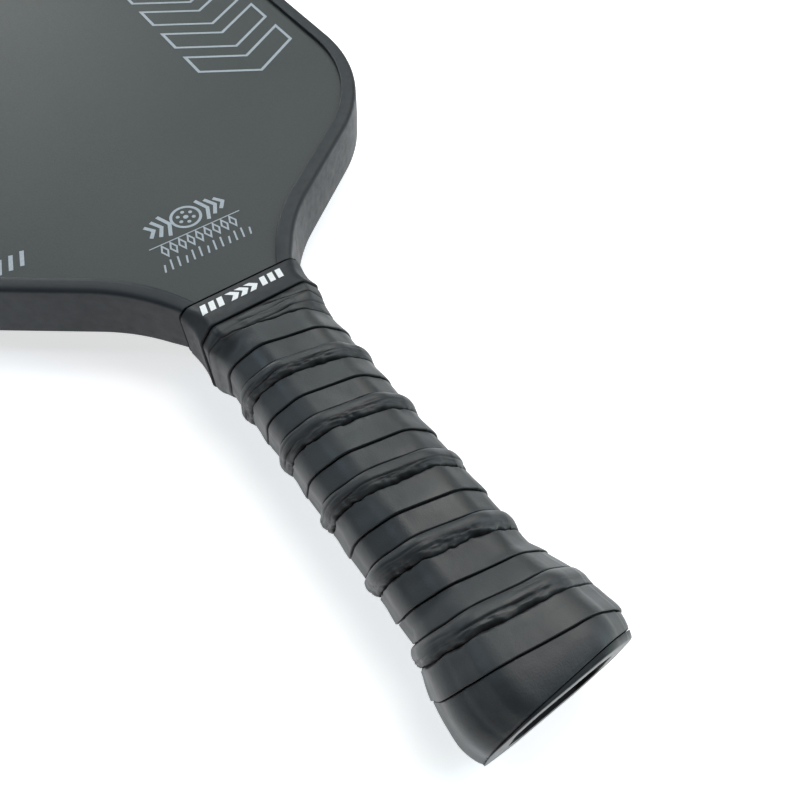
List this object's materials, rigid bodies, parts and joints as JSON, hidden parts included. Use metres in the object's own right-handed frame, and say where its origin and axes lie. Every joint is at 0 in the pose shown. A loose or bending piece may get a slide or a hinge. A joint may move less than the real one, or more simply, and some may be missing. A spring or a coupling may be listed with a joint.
{
  "type": "pickleball paddle",
  "caption": "Flat racket-sport paddle with a rounded square head, edge guard, rubber collar, and a ribbed spiral grip on an octagonal handle with a flared butt.",
  "frame": {"origin": "centre of the paddle's bounding box, in the middle of its thickness", "axes": "+Y from the butt to the head, +Z the front face's outward normal, +X across the paddle"},
  "size_m": [0.1858, 0.419, 0.0393],
  "materials": {
    "core_plastic": "translucent off-white polypropylene",
    "carbon_face": "matte dark grey carbon composite with a fine grit",
    "edge_guard": "satin black moulded plastic",
    "handle_shell": "matte black moulded foam",
    "butt_cap": "satin black moulded plastic",
    "butt_cap_disc": "semi-gloss black plastic",
    "staple_steel": "bright wire",
    "grip_leather": "soft-sheen black synthetic leather",
    "rib_cord": "grey foam rubber",
    "finishing_tape": "black vinyl",
    "collar_rubber": "smooth matte black rubber",
    "print_ink": "pale grey and white screen print"
  },
  "bodies": {
    "root": {"honeycomb_core": "core_plastic", "front_face_sheet": "carbon_face", "back_face_sheet": "carbon_face", "edge_guard": "edge_guard", "handle_shell_front": "handle_shell", "handle_shell_back": "handle_shell", "butt_cap": "butt_cap", "butt_cap_disc": "butt_cap_disc", "butt_cap_staple_front": "staple_steel", "butt_cap_staple_back": "staple_steel", "grip_wrap": "grip_leather", "grip_rib_cord": "rib_cord", "finishing_tape": "finishing_tape", "collar_band": "collar_rubber"}
  },
  "joints": []
}
